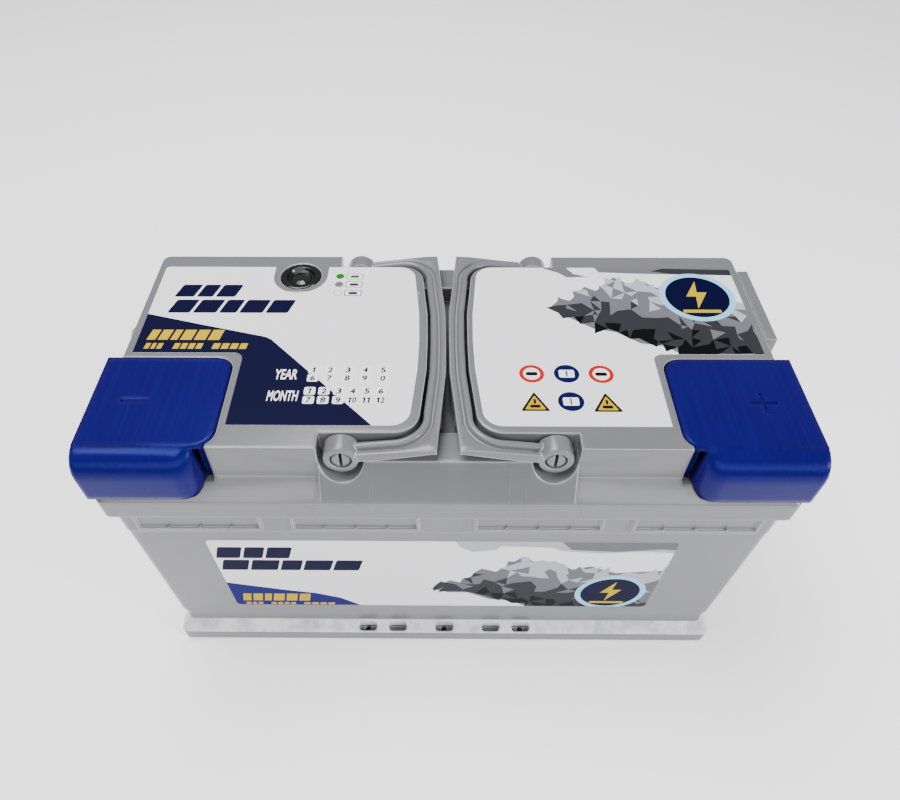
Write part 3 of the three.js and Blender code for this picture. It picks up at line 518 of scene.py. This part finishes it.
def printed_label(name, outline, prints, place, back, node):
    """A film whose face is divided into inked areas, the later ones over the earlier ones."""
    areas = [("white film", segments_of(outline))]
    for ink, shape in prints:
        areas.append((ink, shape if isinstance(shape, np.ndarray) else segments_of(*shape)))
    ends = np.concatenate([segments.reshape(-1, 2) for _, segments in areas])
    edges = [(i, i + 1) for i in range(0, len(ends), 2)]
    points, _, faces, *_ = delaunay_2d_cdt([Vector(p) for p in ends], edges, [], 0, 0.002)
    flat = np.array([tuple(p) for p in points])
    faces = np.array([f for f in faces if len(f) == 3])
    centres = flat[faces].mean(1)
    top = np.full(len(faces), -1)
    within = inside(centres, areas[0][1])
    for i, (_, segments) in enumerate(areas):
        top[inside(centres, segments) & within] = i
    faces, top = faces[top >= 0], top[top >= 0]
    names = sorted({areas[i][0] for i in top}, key=list(INKS).index)
    bm = bmesh.new()
    made = {i: bm.verts.new(Vector(place(*flat[i])) * MM) for i in sorted(set(faces.flat))}
    for face, area in zip(faces, top):
        new = bm.faces.new([made[i] for i in face])
        new.material_index = names.index(areas[area][0])
    bm.normal_update()
    if sum((f.normal * f.calc_area() for f in bm.faces), Vector()).dot(Vector(back)) > 0:
        bmesh.ops.reverse_faces(bm, faces=bm.faces)
    rim = [e for e in bm.edges if e.is_boundary]
    skirt = bmesh.ops.extrude_edge_only(bm, edges=rim)["geom"]
    for element in skirt:
        if isinstance(element, bmesh.types.BMVert):
            element.co += Vector(back) * FILM * MM
        elif isinstance(element, bmesh.types.BMFace):
            element.material_index = 0
    link_piece(name, mesh_of(bm, name), [INK[n] for n in names], "battery", "label_film", node)


# ---------------------------------------------------------------- labels
def mirrored(points):
    """A closed outline moved to the other half of the lid."""
    return [(-x, y) for x, y in points][::-1]


def top_label_outline(with_indicator):
    """Outline of a top label: round the cover's corner, along the handle and round the indicator."""
    shoulder = [(LABEL_EDGE_X, -10.4), *arc(*CAP_ROUND, 5, 90, 0, 5), (-108.6, -61.8)]
    edge = -15.3 if with_indicator else -13.7
    round_x = edge - 13.3
    inner = [*arc(round_x, -51.8, 10, 270, 355, 8), (edge - 0.5, -22), (edge, 0), (edge - 0.5, 22)]
    inner += arc(round_x, 55, 10, 5, 90, 8)
    notch = []
    if with_indicator:
        notch = [(-70.4, 65), *arc(*INDICATOR, 15.9, 0, -180, 20), (-102.3, 65)]
    return [*shoulder, *inner, *notch, *arc(LABEL_EDGE_X + 2, 63, 2, 90, 180, 4)]


def crystals(outline, tone_at, spacing, seed):
    """Angular chips that fill an outline; tone_at gives a chip's ink from its place and a random number."""
    rng = np.random.default_rng(seed)
    shape = segments_of(outline)
    low, high = np.min(outline, 0), np.max(outline, 0)
    across, along = (np.maximum(2, ((high - low) / spacing).astype(int)) + 1).tolist()
    columns = np.linspace(low[0], high[0], across)
    rows = np.linspace(low[1], high[1], along)
    grid = np.stack(np.meshgrid(columns, rows), -1).reshape(-1, 2)
    points = grid + rng.uniform(-CHIP_SHIFT, CHIP_SHIFT, (across * along, 2)) * spacing
    chips = []
    spots, _, faces, *_ = delaunay_2d_cdt([Vector(p) for p in points.tolist()], [], [], 0, 0.001)
    for face in faces:
        corners = np.array([tuple(spots[i]) for i in face])
        centre = corners.mean(0, keepdims=True)
        if inside(centre, shape)[0]:
            chips.append((tone_at(*centre[0], rng.random()), [corners.tolist()]))
    return chips


def rock_tone(low_left, high_right):
    """Ink for a chip: darkest towards the first corner, palest towards the second."""
    start, reach = Vector(low_left), Vector(high_right) - Vector(low_left)

    def tone_at(x, y, chance):
        along = (Vector((x, y)) - start).dot(reach) / reach.length_squared
        place = along + 0.34 * (chance - 0.5)
        return ROCK_TONES[int(min(max(place, 0), 0.999) * len(ROCK_TONES))]

    return tone_at


def bolt(x, y, size):
    points = [(0.12, 1.0), (-0.5, -0.12), (-0.05, -0.12), (-0.14, -1.0), (0.5, 0.18), (0.04, 0.18)]
    return [(x + size * u, y + size * v) for u, v in points]


def badge(x, y):
    """A round badge with a bolt above a short bar."""
    r = BADGE_RADIUS
    return [
        ("ice ink", [disc(x, y, r, 56)]),
        ("navy ink", [disc(x, y, r * 0.84, 56)]),
        ("yellow ink", [bolt(x, y + 0.08 * r, r * 0.58)]),
        ("yellow ink", [rounded_box(x - 0.5 * r, y - 0.66 * r, x + 0.5 * r, y - 0.54 * r, 0.8)]),
    ]


def headline(x0, x1, y0, y1, widths):
    """A band of heavy leaning bars in place of a title."""
    blocks = slanted_blocks(x0, x1, y0, y1, widths, 1.6, 0.3)
    return [("navy ink", [rounded_corners(block, 1.2, 3)]) for block in blocks]


def small_bars(x0, x1, y0, y1, widths, gap, lean):
    """A band of yellow bars in place of a rating or of small print."""
    return [("yellow ink", [block]) for block in slanted_blocks(x0, x1, y0, y1, widths, gap, lean)]


def date_number(x, y, number):
    """A year or month number on its own small pale patch."""
    prints = [("pale ink", [rounded_box(x - 2.9, y - 2.7, x + 2.9, y + 2.7, 1.0)])]
    step = 2.3
    width = 2.6 if len(number) == 1 else 2.1
    for i, figure in enumerate(number):
        place = x + step * (i - 0.5 * (len(number) - 1))
        if figure == "1":
            prints.append(("black ink", [[(place + u, y + v) for u, v in FIGURE_ONE]]))
        else:
            prints.append(("black ink", word(figure, place, y, 3.9, width, 0.03, 0.1)))
    return prints


def left_prints():
    """Everything printed on the left top label: titles, date numbers and the key to the indicator."""
    field = [(-175, 23.4), (-131.5, 11.2), (-101, 3.0), (-98, 2.0), (-95.4, 0.2)]
    field += [(-37.1, -61.9), (-30, -70), (-175, -70)]
    prints = [("navy ink", [field])]
    prints += headline(-157, -118.6, 36.6, 47.8, TITLE_SHORT)
    prints += headline(-157.6, -86.2, 22.4, 34, TITLE_LONG)
    prints += small_bars(-163.2, -122.1, -0.3, 7.9, RATING, 1.4, 0.2)
    for (x0, x1), widths in zip(((-163, -153), (-147.5, -131.5), (-126.5, -107.4)), SMALL_PRINT):
        prints += small_bars(x0, x1, -7.4, -3.0, widths, 1.1, 0.15)
    prints.append(("pale ink", word("YEAR", -83.6, -26.6, 7.4, 11.8, 0.02, 0.04)))
    prints.append(("pale ink", word("MONTH", -83.4, -42.0, 7.4, 15.4, 0.02, 0.04)))
    for i, x in enumerate((-69.6, -61.0, -51.8, -42.8, -33.5)):
        prints += date_number(x, -23.2, str(i + 1))
        prints += date_number(x, -29.2, str((i + 6) % 10))
    for i, x in enumerate((-70.1, -62.8, -55.2, -48.2, -41.0, -33.9)):
        prints += date_number(x, -38.5, str(i + 1))
        prints += date_number(x, -44.8, str(i + 7))
    for y, ink in ((56.1, "green ink"), (48.5, "mid grey ink"), (40.5, "mid grey ink")):
        prints.append((ink, [disc(-63.1, y, 2.5)]))
        edge = "green ink" if ink == "green ink" else "dark grey ink"
        prints.append((edge, [rounded_box(-59.4, y - 2.7, -49.4, y + 2.7, 0.8)]))
        prints.append(("pale ink", [rounded_box(-58.9, y - 2.2, -49.9, y + 2.2, 0.5)]))
        prints.append((edge, [rounded_box(-56.9, y - 1.3, -51.9, y + 1.0, 0.3)]))
    prints.append(("pale ink", [disc(-63.1, 40.5, 2.1)]))
    return prints


def ice_shapes():
    """Angular chips like broken ice at the back of the right-hand label."""
    ridge = [(57, 27), (65, 36), (70, 34), (80, 47), (86, 43), (98, 56), (106, 49), (113, 53), (122, 46)]
    ridge += [(130, 50), (146, 42), (168, 30), (168, -10.4), (124, -10.4), (116, -4), (104, -2), (92, 7)]
    ridge += [(80, 10), (68, 19)]
    near_cloud = [(53, 70), (58, 64), (66, 60), (71, 55.5), (83, 56.5), (75, 59), (72, 63.5), (70, 70)]
    far_cloud = [(86, 70), (90, 60.6), (112, 59.4), (140, 58.6), (175, 57.8), (175, 70)]
    shadow = [(121, 61.8), (128, 64.4), (158, 63.6), (175, 63.2), (175, 58), (132, 59.4)]
    return [
        ("mid grey ink", [ridge]),
        *crystals(ridge, rock_tone((92, 0), (106, 58)), 5.6, 4),
        ("mid grey ink", [near_cloud]),
        ("mid grey ink", [far_cloud]),
        ("dark grey ink", [shadow]),
    ]


def right_prints():
    """Everything printed on the right top label: the ice, the badge and six plain signs."""
    prints = ice_shapes() + badge(143.4, 38)
    for x, y in ((43.3, -25.5), (79.2, -25.7)):
        prints.append(("red ink", [disc(x, y, 6.5)]))
        prints.append(("pale ink", [disc(x, y, 4.4)]))
        prints.append(("black ink", [rounded_box(x - 3.1, y - 1.3, x + 3.1, y + 1.3, 1.1)]))
    for x, y in ((61.4, -25.4), (61.4, -45.2)):
        prints.append(("sky ink", [disc(x, y, 6.6)]))
        prints.append(("pale ink", [rounded_box(x - 4, y - 2.8, x + 4, y + 2.8, 1)]))
        prints.append(("sky ink", [rounded_box(x - 0.4, y - 2.2, x + 0.4, y + 2.2, 0.3)]))
    for x, y in ((43.3, -46.2), (79.2, -46.6)):
        corners = [(x - 7.4, y - 5.6), (x + 7.4, y - 5.6), (x, y + 7.6)]
        small = [(x - 5.3, y - 4.5), (x + 5.3, y - 4.5), (x, y + 5.2)]
        prints.append(("black ink", [rounded_corners(corners, 1.2)]))
        prints.append(("amber ink", [rounded_corners(small, 0.8)]))
        prints.append(("black ink", [rounded_box(x - 2.6, y - 3.3, x + 2.6, y - 1.3, 0.7)]))
        prints.append(("black ink", [rounded_box(x - 0.6, y - 0.6, x + 0.6, y + 2.6, 0.5)]))
    return prints


def front_prints():
    """Everything printed on the front label: titles, the ice and the badge."""
    prints = [("blue ink", [[(-140, 71.5), (-100, 60.5), (-80, 56), (-66, 50), (-47, 34), (-140, 34)]])]
    prints += headline(-131.6, -86, 99.4, 111.7, TITLE_SHORT)
    prints += headline(-131.6, -47.5, 85.4, 97.3, TITLE_LONG)
    prints += small_bars(-128, -83.8, 45.4, 54.8, RATING, 1.4, 0.2)
    for (x0, x1), widths in zip(((-127, -116), (-111, -95), (-90, -70)), SMALL_PRINT):
        prints += small_bars(x0, x1, 40.2, 43.0, widths, 1.1, 0.15)
    ridge = [(-9, 63), (3, 74), (9, 71), (22, 88), (29, 84), (44, 103), (54, 94), (62, 98), (74, 88)]
    ridge += [(84, 92), (100, 84), (134, 88), (134, 39), (52, 39), (42, 47), (28, 49), (14, 58), (2, 58)]
    cloud = [(4, 121), (8, 113), (15, 107.6), (28, 110), (30, 114), (58, 113), (66, 109), (87, 106.8)]
    cloud += [(110, 109), (134, 107), (134, 121)]
    shadow = [(62, 121), (70, 110.5), (96, 108.6), (120, 111.5), (134, 110), (134, 121)]
    prints.append(("mid grey ink", [ridge]))
    prints += crystals(ridge, rock_tone((46, 40), (60, 100)), 6.4, 11)
    prints.append(("light grey ink", [cloud]))
    prints.append(("mid grey ink", [shadow]))
    return prints + badge(102, 58.6)


def on_top(x, y):
    return x, y, LABEL_TOP


def on_front(x, z):
    """The place of a point of the front label, on the face that leans with the wall."""
    low_z, high_z = FRONT_LABEL[1], FRONT_LABEL[3]
    low_y, high_y = FRONT_WALL
    t = (z - low_z) / (high_z - low_z)
    return x, low_y + t * (high_y - low_y) - FILM - FRONT_PROUD, z


down = (0, 0, -1)
into_wall = (0, 1, 0)
left_outline = top_label_outline(True)
right_outline = mirrored(top_label_outline(False))
front_outline = rounded_box(*FRONT_LABEL, 3)
printed_label("label_print_left", left_outline, left_prints(), on_top, down, "label_top_left")
printed_label("label_print_right", right_outline, right_prints(), on_top, down, "label_top_right")
printed_label("label_print_front", front_outline, front_prints(), on_front, into_wall, "label_front")


# ---------------------------------------------------------------- handles
def handle_stations():
    """Pairs of inner and outer plan points from the front eye round to the middle of the grip."""
    pairs = [((x, ARM_INNER_Y), (x, ARM_OUTER_Y)) for x in np.linspace(*ARM_X, 9)]
    bend = arc(*BEND_CENTRE, BEND_RADIUS, 270, 354, 20)
    for i, inner in enumerate(bend):
        t = i / (len(bend) - 1)
        first, second = min(t * 2, 1), max(t * 2 - 1, 0)
        outer = (BEND_CENTRE[0] + 21.5 * first + 2.2 * second, BEND_OUTER_Y + 24.4 * second)
        pairs.append((inner, outer))
    for y in (-GRIP_HALF - 0.3, -GRIP_HALF + 0.3, -44, -34, -24, -16, -8, 0):
        inner_x = np.interp(y, [-52.7, -24, 0], [-12.2, -9.6, -9.2])
        outer_x = np.interp(y, [-77.2, -24, 0], [-5.6, -0.9, -0.7])
        pairs.append(((inner_x, y), (outer_x, y)))
    return pairs


def handle_section(inner, outer):
    """Closed section: outer edge, flat flange, shallow valley, round rib along the inner edge, underside."""
    inner, outer = Vector(inner), Vector(outer)
    width = (outer - inner).length
    valley = min(RIB_RADIUS * 2 + 1.6, width - 2.4)
    web = [(width, -2.0), (width, -0.7), (width - 0.25, -0.2), (width - 0.8, 0.0)]
    web += [(valley + 0.7, -0.05), (valley + 0.2, -0.4), (valley - 0.3, -1.3)]
    web += [(valley - 0.8, -1.7), (valley - 1.3, -1.6)]
    rib = []
    for angle in range(20, 181, 20):
        swing = math.radians(angle)
        rib.append((RIB_RADIUS + RIB_RADIUS * math.cos(swing), -RIB_HEIGHT + RIB_HEIGHT * math.sin(swing)))
    rib.append((0.0, -3.0))
    section = []
    for places, top in ((web, WEB_TOP), (rib, RIB_TOP)):
        for distance, drop in places:
            spot = inner + (outer - inner) * (distance / width)
            section.append((spot.x, spot.y, np.interp(spot.x, *top) + drop))
    for spot in (inner, outer):
        low = GRIP_LOW if abs(spot.y) < GRIP_HALF else np.interp(spot.x, *UNDERSIDE)
        section.append((spot.x, spot.y, low))
    return section


def skin(bm, rings, closed_ends=True):
    """Joins closed rings of equal counts into a tube."""
    made = [[bm.verts.new(Vector(p) * MM) for p in ring] for ring in rings]
    count = len(made[0])
    for first, second in zip(made, made[1:]):
        for i in range(count):
            j = (i + 1) % count
            bm.faces.new((first[i], first[j], second[j], second[i]))
    if closed_ends:
        bm.faces.new(made[0][::-1])
        bm.faces.new(made[-1])


def ring_about_y(bm, x, z, profile, steps=56):
    """A closed profile of (radius, y) turned about an axis along Y."""
    rings = []
    for i in range(steps + 1):
        angle = 2 * math.pi * i / steps
        rings.append([(x + r * math.cos(angle), y, z + r * math.sin(angle)) for r, y in profile])
    skin(bm, rings, closed_ends=False)


def handle_mesh(mirror):
    """A handle folded inwards: the swept bar and its two eyes."""
    bm = bmesh.new()
    half = [handle_section(*pair) for pair in handle_stations()]
    back = [[(x, -y, z) for x, y, z in ring] for ring in half[-2::-1]]
    skin(bm, half + back)
    for side in (-1, 1):
        ring_about_y(bm, *PIVOT, [(r, side * y) for r, y in EYE_PROFILE])
    bmesh.ops.remove_doubles(bm, verts=bm.verts, dist=0.001 * MM)
    if mirror:
        bmesh.ops.scale(bm, vec=(-1, 1, 1), verts=bm.verts)
    bmesh.ops.recalc_face_normals(bm, faces=bm.faces)
    for face in bm.faces:
        face.smooth = True
    for edge in bm.edges:
        edge.smooth = edge.calc_face_angle(0) < math.radians(42)
    return mesh_of(bm, "handle")


# ---------------------------------------------------------------- case
container = rounded(cad_copy("container"), 0.5)
lid = rounded(cad_copy("lid"), 0.8, 3)
link_piece("container_shell", container, [CASE], "battery", "case_grey", "container")
link_piece("lid_shell", lid, [CASE], "battery", "case_grey", "lid")
for side in ("left", "right"):
    handle = f"handle_{side}"
    link_piece(f"handle_shell_{side}", handle_mesh(side == "right"), [HANDLE], handle, "handle_grey", handle)
    for end in ("front", "back"):
        pin = f"handle_pin_{end}_{side}"
        link_piece(f"{pin}_shell", rounded(cad_copy(pin), 0.35, 2), [HANDLE], "battery", "handle_grey", pin)
for sign in ("negative", "positive"):
    cap = rounded(cad_copy(f"terminal_cap_{sign}"), 0.5, 3)
    link_piece(f"cap_shell_{sign}", cap, [BLUE], f"cap_{sign}", "cover_blue", f"terminal_cap_{sign}")
for node, radius, material, slot in (
    ("vent_hood", 0.7, CASE, "case_grey"),
    ("vent_cover_left", 0.4, CASE, "case_grey"),
    ("vent_cover_right", 0.4, CASE, "case_grey"),
    ("indicator_body", 0.4, BLACK, "indicator_black"),
    ("terminal_bushing_negative", 0.4, LEAD, "lead"),
    ("terminal_bushing_positive", 0.4, LEAD, "lead"),
    ("terminal_post_negative", 0.5, LEAD, "lead"),
    ("terminal_post_positive", 0.5, LEAD, "lead"),
):
    link_piece(f"{node}_shell", rounded(cad_copy(node), radius), [material], "battery", slot, node)


def gusset_nodes():
    """One small prism on every point, lying along X against the wall."""
    group = bpy.data.node_groups.new("gussets on points", "GeometryNodeTree")
    group.interface.new_socket("Geometry", in_out="INPUT", socket_type="NodeSocketGeometry")
    for label, value in (("Radius", 0.0017), ("Thickness", 0.0012)):
        group.interface.new_socket(label, in_out="INPUT", socket_type="NodeSocketFloat").default_value = value
    group.interface.new_socket("Material", in_out="INPUT", socket_type="NodeSocketMaterial")
    group.interface.new_socket("Geometry", in_out="OUTPUT", socket_type="NodeSocketGeometry")
    start = add(group, "NodeGroupInput")
    end = add(group, "NodeGroupOutput")
    prism = add(group, "GeometryNodeMeshCylinder", Vertices=3)
    turn = add(group, "GeometryNodeTransform", Rotation=(0.0, math.radians(90), 0.0))
    spread = add(group, "GeometryNodeInstanceOnPoints")
    real = add(group, "GeometryNodeRealizeInstances")
    finish = add(group, "GeometryNodeSetMaterial")
    link = group.links.new
    link(start.outputs["Radius"], prism.inputs["Radius"])
    link(start.outputs["Thickness"], prism.inputs["Depth"])
    link(prism.outputs["Mesh"], turn.inputs["Geometry"])
    link(start.outputs["Geometry"], spread.inputs["Points"])
    link(turn.outputs["Geometry"], spread.inputs["Instance"])
    link(spread.outputs["Instances"], real.inputs["Geometry"])
    link(real.outputs["Geometry"], finish.inputs["Geometry"])
    link(start.outputs["Material"], finish.inputs["Material"])
    link(finish.outputs["Geometry"], end.inputs["Geometry"])
    return group


def gussets():
    """Three small gussets in each frame under the lid's flange."""
    points = []
    for side in (-1, 1):
        for near, far in RIB_FRAMES:
            for end in (-1, 1):
                spots = [end * (near + (far - near) * share) for share in (0.25, 0.5, 0.75)]
                points += [(x * MM, side * GUSSET_Y * MM, GUSSET_Z * MM) for x in spots]
    mesh = bpy.data.meshes.new("gusset_points")
    mesh.from_pydata(points, [], [])

    def prepare(thing):
        modifier = thing.modifiers.new("gussets", "NODES")
        modifier.node_group = gusset_nodes()
        sockets = modifier.node_group.interface.items_tree
        material = next(item for item in sockets if item.name == "Material")
        modifier[material.identifier] = CASE

    link_piece("rib_gussets", evaluated(mesh, prepare), [], "battery", "case_grey")


def mould_lines():
    """Fine raised lines where the inserts of the mould met, down the slopes of the lid."""
    lid_bm = bmesh.new()
    lid_bm.from_mesh(nodes["lid"].data)
    lid_tree = BVHTree.FromBMesh(lid_bm)
    lid_bm.free()
    bm = bmesh.new()
    for top_x, low_x, top_z in MOULD_LINES:
        for side in (-1, 1):
            rings = []
            for i in range(MOULD_LINE_STEPS + 1):
                t = i / MOULD_LINE_STEPS
                x, z = top_x + (low_x - top_x) * t, top_z + (MOULD_LINE_LOW - top_z) * t
                outside = Vector((x, side * LID_REACH, z)) * MM
                spot, normal, *_ = lid_tree.ray_cast(outside, Vector((0, -side, 0)))
                if spot and abs(spot.y) > SLOPE_NEAR:
                    low, high = (spot - normal * 0.0003) / MM, (spot + normal * 0.00013) / MM
                    foot = [(low.x - 0.22, low.y, low.z), (low.x + 0.22, low.y, low.z)]
                    crest = [(high.x + 0.07, high.y, high.z), (high.x - 0.07, high.y, high.z)]
                    rings.append(foot + crest)
            skin(bm, rings)
    bmesh.ops.recalc_face_normals(bm, faces=bm.faces)
    link_piece("mould_lines", mesh_of(bm, "mould_lines"), [CASE], "battery", "case_grey")


mould_lines()
gussets()

CAD_FINISH = {
    "flame_arrestor": FRIT,
    "vent_blanking": VENT,
    "indicator_seal": SEAL,
    "indicator_rod": CLEAR,
    "indicator_ball": GREEN,
    "negative_plate": PASTE_GREY,
    "positive_plate": PASTE_BROWN,
    "separator": PAPER,
    "filling": VENT,
    "cell_weld": LEAD,
}
for name, node in nodes.items():
    for start, material in CAD_FINISH.items():
        if name.startswith(start):
            node.data.materials.clear()
            node.data.materials.append(material)


# ---------------------------------------------------------------- floor, light and camera
def floor():
    """A white floor that glows a little, so that it stays pale right up to the case."""
    mesh = bpy.data.meshes.new("floor")
    corners = [(x * FLOOR_REACH, y * FLOOR_REACH, 0) for x, y in ((-1, -1), (1, -1), (1, 1), (-1, 1))]
    mesh.from_pydata(corners, [], [(0, 1, 2, 3)])
    plane = new_object("floor", mesh)
    white = surface(
        "floor",
        "#f8f8f8",
        "#fafafa",
        0.9,
        depth=0.0,
        Emission_Color=(1, 1, 1, 1),
        Emission_Strength=FLOOR_GLOW,
    )
    mesh.materials.append(white)


def area_light(name, place, target, size, power):
    """A rectangular lamp that faces its target."""
    data = bpy.data.lights.new(name, "AREA")
    data.shape = "RECTANGLE"
    data.size, data.size_y = size
    data.energy = power
    lamp = new_object(name, data)
    lamp.location = place
    lamp.rotation_euler = (Vector(target) - Vector(place)).to_track_quat("-Z", "Y").to_euler()


def camera():
    data = bpy.data.cameras.new("camera")
    data.lens = CAMERA_LENS
    data.sensor_width = CAMERA_FRAME
    data.shift_x, data.shift_y = CAMERA_SHIFT
    data.clip_start = 0.01
    eye = new_object("camera", data)
    heading, tilt, roll = [math.radians(angle) for angle in CAMERA_ANGLES]
    turn = Matrix.Rotation(heading, 4, "Z") @ Matrix.Rotation(tilt, 4, "X")
    eye.matrix_world = Matrix.Translation(CAMERA_PLACE) @ turn @ Matrix.Rotation(roll, 4, "Z")
    bpy.context.scene.camera = eye


def room():
    """An even white glow from all round."""
    world = bpy.data.worlds.new("studio")
    world.use_nodes = True
    background = world.node_tree.nodes["Background"]
    background.inputs["Color"].default_value = (1, 1, 1, 1)
    background.inputs["Strength"].default_value = ROOM_GLOW
    bpy.context.scene.world = world


floor()
room()
for light in LIGHTS:
    area_light(*light)
camera()
